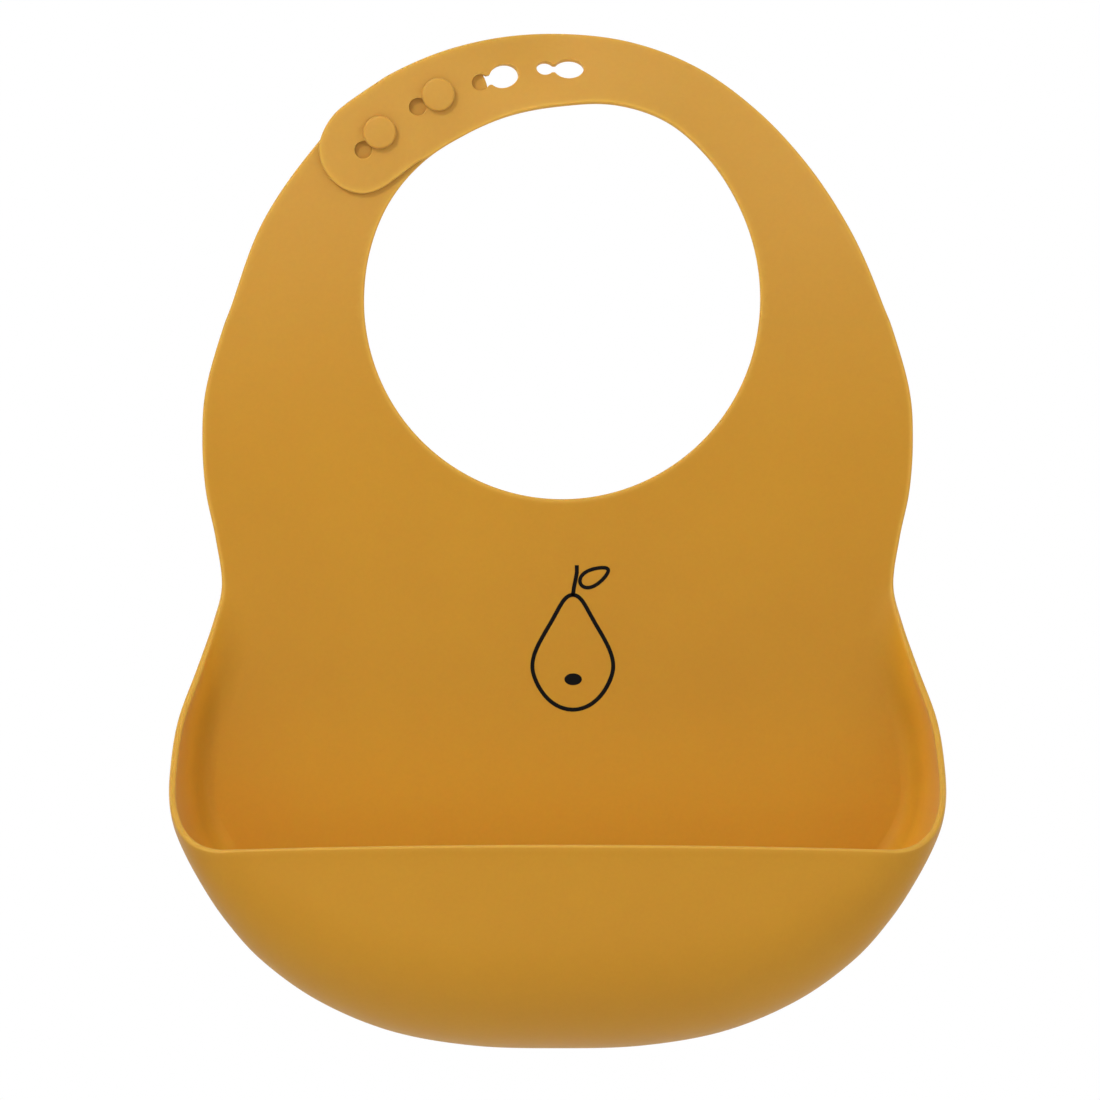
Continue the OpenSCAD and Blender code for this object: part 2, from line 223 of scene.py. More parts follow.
def sheet_object(name, mid, normal, faces, half, fillet, seam=None, exact=True, plain=None, inside=None):
    """mid, normal: n x 3 in mm; half, fillet: n; seam: vertices on an edge that another mesh continues;
    exact: the normals given are the skins' own; plain: edge vertices that get no painted highlight along their
    edge;
    inside: n, how far the front skin is in the pocket, which sets how much painted light brightens it."""
    mid, normal = np.asarray(mid, float), np.asarray(normal, float)
    n = len(mid)
    half = np.broadcast_to(np.asarray(half, float), n)
    fillet = np.broadcast_to(np.asarray(fillet, float), n)
    seam = np.zeros(n, bool) if seam is None else seam
    front, back = mid + normal * half[:, None], mid - normal * half[:, None]

    def face_normals(points, fs, sign):
        out = np.zeros((n, 3))
        for f in fs:
            p = points[list(f)]
            m = np.cross(p[1] - p[0], p[2] - p[0])
            if len(f) == 4:
                m = np.cross(p[2] - p[0], p[3] - p[1])
            for v in f:
                out[v] += m * sign
        size = np.linalg.norm(out, axis=1)
        size[size < 1e-12] = 1
        return out / size[:, None]

    if exact:
        nf, nb = normal.copy(), -normal
    else:
        nf, nb = face_normals(front, faces, 1), face_normals(back, faces, -1)
        nf[seam], nb[seam] = normal[seam], -normal[seam]

    count = {}
    for f in faces:
        for i, a in enumerate(f):
            b = f[(i + 1) % len(f)]
            count.setdefault((min(a, b), max(a, b)), []).append((a, b))
    border = [d[0] for d in count.values() if len(d) == 1]
    border = [(a, b) for a, b in border if not (seam[a] and seam[b])]
    out = np.zeros((n, 3))
    for a, b in border:
        e = mid[b] - mid[a]
        for v in (a, b):
            t = np.cross(e, normal[v])
            out[v] += t / max(np.linalg.norm(t), 1e-9)
    verts = list(front) + list(back)
    norms = list(nf) + list(nb)
    polys = [tuple(f) for f in faces] + [tuple(v + n for v in reversed(f)) for f in faces]
    steps = [0, 22, 45, 68, 90]      # degrees round a fillet
    rings = {}
    for v in sorted({v for e in border for v in e}):
        t = out[v] / max(np.linalg.norm(out[v]), 1e-9)
        r = min(fillet[v], half[v])
        ring = [v]
        for side in (1, -1):
            for s in (steps[1:] if side > 0 else steps[::-1][:-1]):
                c, d = math.cos(math.radians(s)), math.sin(math.radians(s))
                p = mid[v] + t * r * d + normal[v] * side * (half[v] - r + r * c)
                ring.append(len(verts))
                verts.append(p)
                norms.append(unit(side * c * normal[v] + d * t) if s < 90 else t)
        ring.append(v + n)
        rings[v] = ring
    for a, b in border:
        ra, rb = rings[a], rings[b]
        for i in range(len(ra) - 1):
            polys.append((ra[i], ra[i + 1], rb[i + 1], rb[i]))
    mesh = bpy.data.meshes.new(name)
    mesh.from_pydata([tuple(p * MM) for p in verts], [], polys)
    mesh.validate()
    mesh.update()
    # the painted highlight runs along the outer edges, not along the keyholes
    highlit = [v for v in rings if plain is None or not plain[v]]
    tree = kdtree.KDTree(len(highlit))
    for v in highlit:
        tree.insert(mid[v], v)
    tree.balance()
    # rim: how much painted highlight a vertex gets near the sheet's edge
    edge_highlight_value = mesh.attributes.new("rim", "FLOAT", "POINT")
    for i, p in enumerate(verts):
        away = max(0.0, tree.find(p)[2] ** 2 - HALF ** 2) if i < 2 * n else 0.0
        edge_highlight_value.data[i].value = math.exp(-away / EDGE_HIGHLIGHT_FADE ** 2)
    # inside: how much painted light brightens the pocket at each vertex
    if inside is not None:
        pocket_light_value = mesh.attributes.new("inside", "FLOAT", "POINT")
        for i in range(n):
            pocket_light_value.data[i].value = float(inside[i])
    for p in mesh.polygons:
        p.use_smooth = True
    mesh.normals_split_custom_set_from_vertices([tuple(v) for v in norms])
    obj = bpy.data.objects.new(name, mesh)
    bpy.context.scene.collection.objects.link(obj)
    return obj


# ---------------------------------------------------------------- chest and pocket, one continuous sheet
class Weld:
    """A sheet's middle surface, whose patches share the vertices that fall together."""

    def __init__(self):
        self.index, self.points, self.halves, self.fillets, self.faces = {}, [], [], [], []

    def add(self, p, half, fillet):
        key = tuple(np.round(p, 3))
        if key not in self.index:
            self.index[key] = len(self.points)
            self.points.append(p)
            self.halves.append(half)
            self.fillets.append(fillet)
        i = self.index[key]
        self.halves[i] = max(self.halves[i], half)
        self.fillets[i] = max(self.fillets[i], fillet)
        return i

    def patch(self, rows, flip=False):
        """rows of vertex numbers; skips the corners that fall together"""
        for r0, r1 in zip(rows, rows[1:]):
            for j in range(len(r0) - 1):
                f = [r0[j], r0[j + 1], r1[j + 1], r1[j]]
                f = [v for i, v in enumerate(f) if v != f[i - 1]]
                if len(set(f)) >= 3:
                    self.faces.append(tuple(reversed(f)) if flip else tuple(f))


above, K_SEAM = 0.0, 2.0       # the outline's knot number at the seam, by halving
for _ in range(50):
    trial = (above + K_SEAM) / 2
    if edge(trial)[1] > SEAM_Z:
        above = trial
    else:
        K_SEAM = trial


def spread(a, b):
    """Points from a to b in mm, close together at both ends."""
    long = float(np.linalg.norm(b - a))
    end = [0, 0.5, 1.0, 1.7, 3.0]
    far = [long - d for d in end[::-1]]
    return [a + (b - a) * d / long for d in end + list(np.linspace(end[-1], far[0], 21))[1:-1] + far]


def seam_row(right):
    """The points across a shoulder that the chest and a strap share, from the neck outward."""
    sx = math.sqrt((neck(-6) + EDGE_FILLET) ** 2 - SEAM_Z ** 2)
    o = edge(K_SEAM) - EDGE_FILLET * across(K_SEAM)
    ox = o[0] if right else 2 * SHIFT - o[0]
    ix = sx if right else -sx
    return spread(np.array([ix, 0.0, SEAM_Z]), np.array([ox, 0.0, o[1]]))


ks = list(np.linspace(K_SEAM, FLARE, 34)[:-1]) + list(np.linspace(FLARE, WIDEST, 64)[:-1])
ks += list(np.linspace(WIDEST, LIP_END, 40)[:-1]) + list(np.linspace(LIP_END, BOTTOM, 54))

def rim_share(k):
    return ease(PINCH, 9.0, k)


def rim_half(share, far):
    """Half thickness at a distance from the rim."""
    return HALF + (RIM_HALF - HALF) * share * math.exp(-(far / RIM_REACH) ** 2)


def flip_x(p):
    return np.array([2 * SHIFT - p[0], p[1], p[2]])


weld = Weld()
columns = []
for side in (1, -1):
    cols = []
    for k in ks:
        o = edge(k) - across(k) * (rim_inset(k) + footprint(k))
        e = curve(BODY, k)
        ang = math.atan2(e[1], e[0])
        first = math.atan2(*(seam_row(True)[0][[2, 0]]))
        start = math.atan2(curve(BODY, K_SEAM)[1], curve(BODY, K_SEAM)[0])
        ang += (first - start) * (1 - ease(K_SEAM, K_SEAM + 3, k))
        r = neck(-10) + EDGE_FILLET
        inner = np.array([side * r * math.cos(ang), 0.0, r * math.sin(ang)])
        outer = np.array([o[0] if side > 0 else 2 * SHIFT - o[0], 0.0, o[1]])
        if k == ks[0]:
            pts = seam_row(side > 0)
        else:
            pts = spread(inner, outer)
        cols.append([weld.add(p, HALF, EDGE_FILLET) for p in pts])
    columns.append(cols)
weld.patch(columns[0], flip=True)
weld.patch(columns[1], flip=False)
seam_ids = set(columns[0][0]) | set(columns[1][0])

angles = [0, 7, 14, 21, 28, 35, 42, 49, 56, 62, 67, 72, 76, 79.5, 82.5, 85, 87, 88.6, 90]
for side in (1, -1):
    rows = []
    for ci, k in enumerate(ks):
        if k < FLARE - 1e-9:
            continue
        pts = [wall_point(k, a) for a in angles]
        reach = np.cumsum([0.0] + [float(np.linalg.norm(q - p)) for p, q in zip(pts, pts[1:])])
        gap = float(np.linalg.norm(rim(k) - (edge(k) - HALF * across(k)))) if k > WIDEST else 0.0
        fillet = EDGE_FILLET + (RIM_FILLET - EDGE_FILLET) * rim_share(k)
        row = [columns[0 if side > 0 else 1][ci][-1]]
        for p, far in list(zip(pts, reach[-1] - reach))[1:]:
            row.append(weld.add(p if side > 0 else flip_x(p), rim_half(rim_share(k), far + gap), fillet))
        rows.append(row)
    weld.patch(rows, flip=side > 0)

near = [4.6, 3.4, 2.4, 1.6, 1.0, 0.5, 0.0]      # distances of the last rows from the rim
for side in (1, -1):
    rows = []
    for k in ks:
        if k < WIDEST - 1e-9:
            continue
        long = float(np.linalg.norm(rim(k) - (edge(k) - HALF * across(k))))
        s = min(1.0, long / 14.0)
        last = long - near[0] * s
        ds = [last * (j / 20) ** 1.6 for j in range(20)] + [long - v * s for v in near]
        row = []
        for d in ds:
            p = front_point(k, d) if d > 1e-9 else wall_point(k, 90)
            row.append(weld.add(p if side > 0 else flip_x(p), rim_half(1.0, long - d), RIM_FILLET))
        rows.append(row)
    weld.patch(rows, flip=side > 0)

points = np.array(weld.points)
norm = np.zeros_like(points)
for f in weld.faces:
    p = points[list(f)]
    m = np.cross(p[2] - p[0], p[-1] - p[1]) if len(f) == 4 else np.cross(p[1] - p[0], p[2] - p[0])
    for v in f:
        norm[v] += m
norm /= np.maximum(np.linalg.norm(norm, axis=1), 1e-12)[:, None]
seam = np.zeros(len(points), bool)
seam[list(seam_ids)] = True
norm[seam] = (0, -1, 0)
# how far into the pocket: the share of painted light that brightens its inside
pocket_light_share = [max(ease(0.3, 9, -p[1]), 0.55 * ease(105, 158, -p[2])) for p in points]
shell = sheet_object("bib_shell", points, norm, weld.faces, weld.halves, weld.fillets, seam, exact=False,
                     inside=pocket_light_share)


# ---------------------------------------------------------------- straps, drawn from the front and then leaned
def height(x, z):
    """How far behind the chest's plane the leaned straps lie."""
    q = math.degrees(math.atan2(z, x))
    q = q + 360 if q < -90 else q
    return (math.hypot(x, z) - neck(q)) * math.tan(math.radians(lean(q)))


def on_strap(x, z, lifted):
    """Point and normal of a strap's middle surface; the upper strap is lifted off the lower one."""
    h = 0.05
    g = ((height(x + h, z) - height(x - h, z)) / (2 * h), (height(x, z + h) - height(x, z - h)) / (2 * h))
    n = unit(np.array([g[0], -1.0, g[1]]))
    q = math.degrees(math.atan2(z, x))
    q = q + 360 if q < -90 else q
    return np.array([x, height(x, z) + (raised(q) / n[1] if lifted else 0.0), z]), n


def polar(q, r):
    return np.array([r * math.cos(math.radians(q)), r * math.sin(math.radians(q))])


def resample(pts, step):
    """The same polyline with points about a step apart."""
    pts = [np.asarray(p, float) for p in pts]
    out = [pts[0]]
    total = sum(np.linalg.norm(b - a) for a, b in zip(pts, pts[1:]))
    count = max(1, round(total / step))
    target, run = total / count, 0.0
    for a, b in zip(pts, pts[1:]):
        seg = float(np.linalg.norm(b - a))
        at = 0.0
        while run + (seg - at) >= target - 1e-9 and len(out) < count:
            at += target - run
            out.append(a + (b - a) * at / seg)
            run = 0.0
        run += seg - at
    out.append(pts[-1])
    return out


def inside(pts, loop):
    """Which points lie inside the loop, by counting the crossings to their right."""
    x, y = pts[:, 0][:, None], pts[:, 1][:, None]
    a, b = loop, np.roll(loop, -1, axis=0)
    cond = (a[:, 1] > y) != (b[:, 1] > y)
    with np.errstate(divide="ignore", invalid="ignore"):
        cross = (b[:, 0] - a[:, 0]) * (y - a[:, 1]) / (b[:, 1] - a[:, 1]) + a[:, 0]
    return (cond & (x < cross)).sum(axis=1) % 2 == 1


def area_of(loop):
    """Positive when the loop runs anticlockwise."""
    nxt = np.roll(loop, -1, axis=0)
    return float((loop[:, 0] * nxt[:, 1] - nxt[:, 0] * loop[:, 1]).sum()) / 2


BAND, BAND_CLEAR = 0.6, 0.45   # a row of vertices BAND inside each border, unless one is nearer than BAND_CLEAR


def strap_object(name, loop, holes, lifted, seam_points, step=1.3):
    """A flat triangle mesh inside the loop and outside the holes, lifted to the leaned strap."""
    loops = [np.array(loop)] + [np.array(h) for h in holes]
    low, high = loops[0].min(0), loops[0].max(0)
    grid = []
    row_step = step * 0.866
    rows = int((high[1] - low[1]) / row_step) + 2
    for j in range(rows):
        for i in range(int((high[0] - low[0]) / step) + 2):
            grid.append((low[0] + (i + 0.5 * (j % 2)) * step, low[1] + j * row_step))
    grid = np.array(grid)
    keep = inside(grid, loops[0])
    for h in loops[1:]:
        keep &= ~inside(grid, h)
    grid = grid[keep]
    border = np.vstack(loops)
    bands = []
    for i, l in enumerate(loops):
        turn = np.roll(l, -1, axis=0) - np.roll(l, 1, axis=0)
        turn /= np.linalg.norm(turn, axis=1)[:, None]
        inward = (1 if area_of(l) > 0 else -1) * (1 if i == 0 else -1)
        band = l + BAND * np.stack([-turn[:, 1], turn[:, 0]], 1) * inward
        ok = inside(band, loops[0])
        for h in loops[1:]:
            ok &= ~inside(band, h)
        near_edge = np.sqrt(((band[:, None, :] - border[None]) ** 2).sum(-1)).min(1)
        bands.append(band[ok & (near_edge > BAND_CLEAR)])
    ring = np.vstack([border] + bands)
    dist = np.sqrt(((grid[:, None, :] - ring[None]) ** 2).sum(-1)).min(1)
    grid = np.vstack([grid[dist > step * 0.55]] + bands)
    pts, edges, start = [], [], 0
    for l in loops:
        pts += [tuple(p) for p in l]
        edges += [(start + i, start + (i + 1) % len(l)) for i in range(len(l))]
        start += len(l)
    pts += [tuple(p) for p in grid]
    vs, _, fs, _, _, _ = geometry.delaunay_2d_cdt([Vector(p) for p in pts], edges, [], 0, 1e-7)
    vs = np.array([tuple(v) for v in vs])
    centre = np.array([vs[list(f)].mean(0) for f in fs])
    good = inside(centre, loops[0])
    for h in loops[1:]:
        good &= ~inside(centre, h)
    faces = []
    for f, g in zip(fs, good):
        if g:
            a, b, c = (vs[i] for i in f)
            turn = (b[0] - a[0]) * (c[1] - a[1]) - (b[1] - a[1]) * (c[0] - a[0])
            faces.append(tuple(f) if turn > 0 else tuple(reversed(f)))
    mid, nrm = zip(*[on_strap(x, z, lifted) for x, z in vs])
    mark = np.zeros(len(vs), bool)
    rims = np.full(len(vs), EDGE_FILLET)
    sp = np.array([tuple(p) for p in seam_points])
    for i, v in enumerate(vs):
        mark[i] = np.min(np.abs(sp - v).sum(1)) < 1e-3
    for h in loops[1:]:
        near_hole = np.sqrt(((vs[:, None, :] - h[None]) ** 2).sum(-1)).min(1) < 1e-3
        rims[near_hole] = HOLE_FILLET
    return sheet_object(name, mid, nrm, faces, HALF, rims, mark, plain=rims < EDGE_FILLET)


def outer_over(q):
    return float(curve(OVER, q / KNOT_STEP + 1))


def outer_under(q):
    return float(curve(UNDER, 180 / KNOT_STEP + 1 - q / KNOT_STEP))


def edge_run(inner_side, outer_fn, q0, q1, seam_point, q_seam, fade):
    """Points along one edge of a strap, which meet the chest's edge where they start."""
    pts = []
    want = math.hypot(*seam_point)
    f = EDGE_FILLET
    base = (neck(q_seam) + f) if inner_side else (outer_fn(q_seam) - f)
    for q in np.linspace(q0, q1, max(3, int(abs(q1 - q0) / 0.5))):
        c = math.cos(math.radians(lean(q)))
        r = neck(q) + f * c if inner_side else outer_fn(q) - f * c
        r += (want - base) * (1 - ease(0, fade, abs(q - q_seam)))
        pts.append(polar(q, r))
    return pts


def seam_2d(right):
    return [np.array([p[0], p[2]]) for p in seam_row(right)]


seam_right = seam_2d(True)
q_in = math.degrees(math.atan2(seam_right[0][1], seam_right[0][0]))
q_out = math.degrees(math.atan2(seam_right[-1][1], seam_right[-1][0]))
inner_r = edge_run(True, outer_over, q_in, SPLIT, seam_right[0], q_in, 12)
outer_r = edge_run(False, outer_over, q_out, SPLIT, seam_right[-1], q_out, 18)
end_row = [inner_r[-1] + (outer_r[-1] - inner_r[-1]) * j / 20 for j in range(21)]
loop = resample(inner_r, EDGE_STEP)[:-1] + end_row[:-1]
loop += resample(outer_r[::-1], EDGE_STEP)[:-1] + seam_right[::-1][:-1]
right = strap_object("strap_right", loop, [], True, seam_right + end_row)

seam_left = seam_2d(False)
q_in = math.degrees(math.atan2(seam_left[0][1], seam_left[0][0])) % 360
q_out = math.degrees(math.atan2(seam_left[-1][1], seam_left[-1][0])) % 360
Q_UNDER = 119.5


def across_under(q, share):
    """A point a share of the way across the stud strap, with both edges inset by the fillet."""
    c = math.cos(math.radians(lean(q)))
    a, b = neck(q) + EDGE_FILLET * c, outer_under(q) - EDGE_FILLET * c
    return polar(q, a + (b - a) * share)


inner_l = edge_run(True, outer_under, q_in, Q_UNDER, seam_left[0], q_in, 12)
outer_l = edge_run(False, outer_under, q_out, Q_UNDER, seam_left[-1], q_out, 18)
reach = (outer_under(Q_UNDER) - neck(Q_UNDER)) / 2 - EDGE_FILLET
middle = (outer_under(Q_UNDER) + neck(Q_UNDER)) / 2
arc = []
for b in np.linspace(-87, 87, 50):
    q = Q_UNDER - math.degrees(reach * math.cos(math.radians(b)) / middle)
    arc.append(across_under(q, 0.5 + 0.5 * math.sin(math.radians(b))))
loop = resample(inner_l[:-1] + arc + outer_l[::-1][1:], EDGE_STEP)[:-1] + seam_left[::-1][:-1]
left = strap_object("strap_left", loop, [], False, seam_left)

# the strap end, with its round tip and four keyholes
TIP = [(-54.6, 65.0), (-57.8, 62.9), (-61.0, 60.7), (-64.2, 58.4), (-67.3, 55.7), (-69.6, 52.6), (-71.2, 49.3),
       (-72.0, 46.3), (-71.9, 43.4), (-71.1, 40.5), (-69.5, 37.6), (-67.0, 34.9), (-63.8, 32.9), (-60.0, 31.9),
       (-56.4, 32.3), (-52.9, 33.8), (-49.3, 36.3), (-45.5, 39.2), (-42.4, 41.4)]


def smooth_run(knots, n):
    """Curve through 2-D knots, and inset by the edge's fillet."""
    knots = [np.array(p, float) for p in knots]
    knots = [2 * knots[0] - knots[1]] + knots + [2 * knots[-1] - knots[-2]]
    out = []
    for s in np.linspace(1, len(knots) - 2, n):
        p, d = curve(knots, s), unit(curve(knots, s + 0.01) - curve(knots, s - 0.01))
        out.append(p + EDGE_FILLET * np.array([-d[1], d[0]]))
    return out


tip = smooth_run(TIP, 140)
inner_e = [polar(q, neck(q) + EDGE_FILLET * math.cos(math.radians(lean(q))))
           for q in np.linspace(SPLIT, 133, 120)]
outer_e = [polar(q, outer_over(q) - EDGE_FILLET * math.cos(math.radians(lean(q))))
           for q in np.linspace(129.3, SPLIT, 120)]
inner_e[0], outer_e[-1] = inner_r[-1], outer_r[-1]


def hole_centre(i):
    """Angle and place of keyhole i, a little outward of the strap's middle near the tip."""
    q = FIRST_HOLE + HOLE_PITCH * i
    c = math.cos(math.radians(lean(q)))
    w_true = (outer_over(q) - neck(q)) / c
    a = w_true / 2 + 1.3 * ease(105, 121, q)
    return q, polar(q, neck(q) + a * c)


def keyhole(i):
    """An oval for the stud's head, which opens through a narrow neck into a round hole for the stud."""
    q, at = hole_centre(i)
    t = np.array([-math.sin(math.radians(q)), math.cos(math.radians(q))])
    o = polar(q, 1.0) * math.cos(math.radians(lean(q)))
    f = HOLE_FILLET
    a, b, r, x0, gap = HOLE_LONG + f, HOLE_WIDE + f, SLOT_ROUND + f, SLOT_AT, SLOT_NECK + f * 0.4
    ta, tc = math.acos(math.sqrt(1 - (gap / b) ** 2)), math.asin(gap / r)
    big = [(a * math.cos(s), b * math.sin(s)) for s in np.linspace(ta, 2 * math.pi - ta, 60)]
    small = [(x0 - r * math.cos(s), r * math.sin(s)) for s in np.linspace(-tc, -2 * math.pi + tc, 40)]
    return resample([at + x * t + y * o for x, y in big + small + big[:1]], HOLE_STEP)[:-1]


loop = resample(inner_e, EDGE_STEP)[:-1] + resample(tip[::-1], TIP_STEP)
loop += resample(outer_e, EDGE_STEP)[1:-1] + end_row[::-1][:-1]
end = strap_object("strap_end_over", loop, [keyhole(i) for i in range(HOLES)], True, end_row, step=1.1)


# ---------------------------------------------------------------- studs
STUD_SIDES = 72
STUD_PROFILE = [(2.9, -0.85), (2.9, -2.2), (3.1, -2.75), (3.5, -2.95), (4.35, -3.0), (4.7, -3.12), (4.87, -3.4),
                (4.9, -3.8), (4.9, -4.2), (4.84, -4.5), (4.66, -4.74), (4.35, -4.86), (3.9, -4.92), (3.0, -4.95),
                (1.5, -4.97), (0, -4.98)]


def mesh_object(name, verts, polys):
    mesh = bpy.data.meshes.new(name)
    mesh.from_pydata(verts, [], polys)
    mesh.update()
    obj = bpy.data.objects.new(name, mesh)
    bpy.context.scene.collection.objects.link(obj)
    return obj


def stud_object(name, node):
    """A mushroom turned round the y axis at the middle of the CAD node."""
    low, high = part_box(node)
    cx, cz = (low[0] + high[0]) / 2, (low[2] + high[2]) / 2
    n = STUD_SIDES
    verts, polys = [], []
    for r, y in STUD_PROFILE[:-1]:
        for i in range(n):
            a = 2 * math.pi * i / n
            verts.append((cx + r * MM * math.cos(a), y * MM, cz + r * MM * math.sin(a)))
    for j in range(len(STUD_PROFILE) - 2):
        for i in range(n):
            after = (i + 1) % n
            polys.append((j * n + i, j * n + after, (j + 1) * n + after, (j + 1) * n + i))
    verts.append((cx, STUD_PROFILE[-1][1] * MM, cz))
    base = (len(STUD_PROFILE) - 2) * n
    for i in range(n):
        polys.append((base + i, base + (i + 1) % n, len(verts) - 1))
    obj = mesh_object(name, verts, polys)
    for p in obj.data.polygons:
        p.use_smooth = True
    return obj


stud_a = stud_object("stud_head_lower", "stud_lower")
stud_b = stud_object("stud_head_upper", "stud_upper")


# ---------------------------------------------------------------- printed pear
INK_FOOT, INK_TOP, SPOT_MIDDLE = -0.84, -0.9, -0.91      # y of the ink, just in front of the sheet's face
SPOT_SIDES = 48


def ink_ribbon(name, lines, filled):
    """lines: (points, closed, width) in the front view; filled: (x, z, half width, half height) of ovals."""
    verts, polys = [], []
    for pts, closed, width in lines:
        pts = [np.array(p) for p in pts]
        n = len(pts)
        base = len(verts)
        for i, p in enumerate(pts):
            a, b = pts[(i - 1) % n] if closed or i else p, pts[(i + 1) % n] if closed or i < n - 1 else p
            d = unit(b - a)
            s = np.array([-d[1], d[0]]) * width / 2
            for off, y in ((1, INK_FOOT), (0.8, INK_TOP), (-0.8, INK_TOP), (-1, INK_FOOT)):
                verts.append(((p[0] + s[0] * off) * MM, y * MM, (p[1] + s[1] * off) * MM))
        for i in range(n if closed else n - 1):
            j = (i + 1) % n
            for c in range(3):
                polys.append((base + 4 * i + c, base + 4 * i + c + 1, base + 4 * j + c + 1, base + 4 * j + c))
    for cx, cz, rx, rz in filled:
        base = len(verts)
        m = SPOT_SIDES
        for s, y in ((1, INK_FOOT), (0.93, INK_TOP)):
            for i in range(m):
                a = 2 * math.pi * i / m
                verts.append(((cx + rx * s * math.cos(a)) * MM, y * MM, (cz + rz * s * math.sin(a)) * MM))
        verts.append((cx * MM, SPOT_MIDDLE * MM, cz * MM))
        for i in range(m):
            j = (i + 1) % m
            polys.append((base + i, base + j, base + m + j, base + m + i))
            polys.append((base + m + i, base + m + j, base + 2 * m))
    return mesh_object(name, verts, polys)


PEAR_WIDTH, STEM_WIDTH, LEAF_WIDTH = 1.2, 1.2, 1.1


def pear(a):
    up = (1 - math.cos(a)) / 2
    slim = 1 - 0.5 * ease(0.3, 0.95, up)
    return (3.2 + 12.6 * math.sin(a) * slim, -121 + 34 * up)


def leaf(a):
    s, v = 4.6 * math.cos(a), 2.3 * math.sin(a) * (1 - 0.3 * math.cos(a))
    c, d = math.cos(math.radians(28)), math.sin(math.radians(28))
    return (9.6 + s * c - v * d, -81.6 + s * d + v * c)


stem = [(3.2, -87.4), (3.5, -85.0), (4.0, -82.6), (4.4, -80.4), (4.4, -78.2)]
pear_line = [pear(a) for a in np.linspace(0, 2 * math.pi, 140, endpoint=False)]
leaf_line = [leaf(a) for a in np.linspace(0, 2 * math.pi, 70, endpoint=False)]
lines = [(pear_line, True, PEAR_WIDTH), (leaf_line, True, LEAF_WIDTH), (stem, False, STEM_WIDTH)]
outline = ink_ribbon("print_outline", lines, [])
spot = ink_ribbon("print_spot", [], [(3.3, -112.0, 2.6, 1.75)])


# ---------------------------------------------------------------- materials
def srgb(r, g, b):
    """A linear colour from 0-255 display values."""
    shares = [c / 255 for c in (r, g, b)]
    return tuple(((c + 0.055) / 1.055) ** 2.4 if c > 0.04045 else c / 12.92 for c in shares) + (1.0,)


SILICONE_DEEP, SILICONE_CLEAR = srgb(187, 131, 16), srgb(191, 136, 20)
SILICONE_SHEEN_PAINT = srgb(196, 145, 54)          # a painted sheen: paler toward the straps at the top
SILICONE_POCKET_LIGHT_PAINT = srgb(218, 155, 18)        # painted light: brighter and more orange inside the pocket
# a painted highlight along the sheets' edges, and how much of it is mixed in
SILICONE_EDGE_HIGHLIGHT, EDGE_HIGHLIGHT_SHARE = srgb(212, 166, 64), 0.6
SHEEN_PAINT_FROM, SHEEN_PAINT_TO = -0.06, 0.07            # heights in metres over which the painted sheen comes in
INK_DARK, INK_LIGHT = srgb(5, 4, 3), srgb(14, 12, 10)


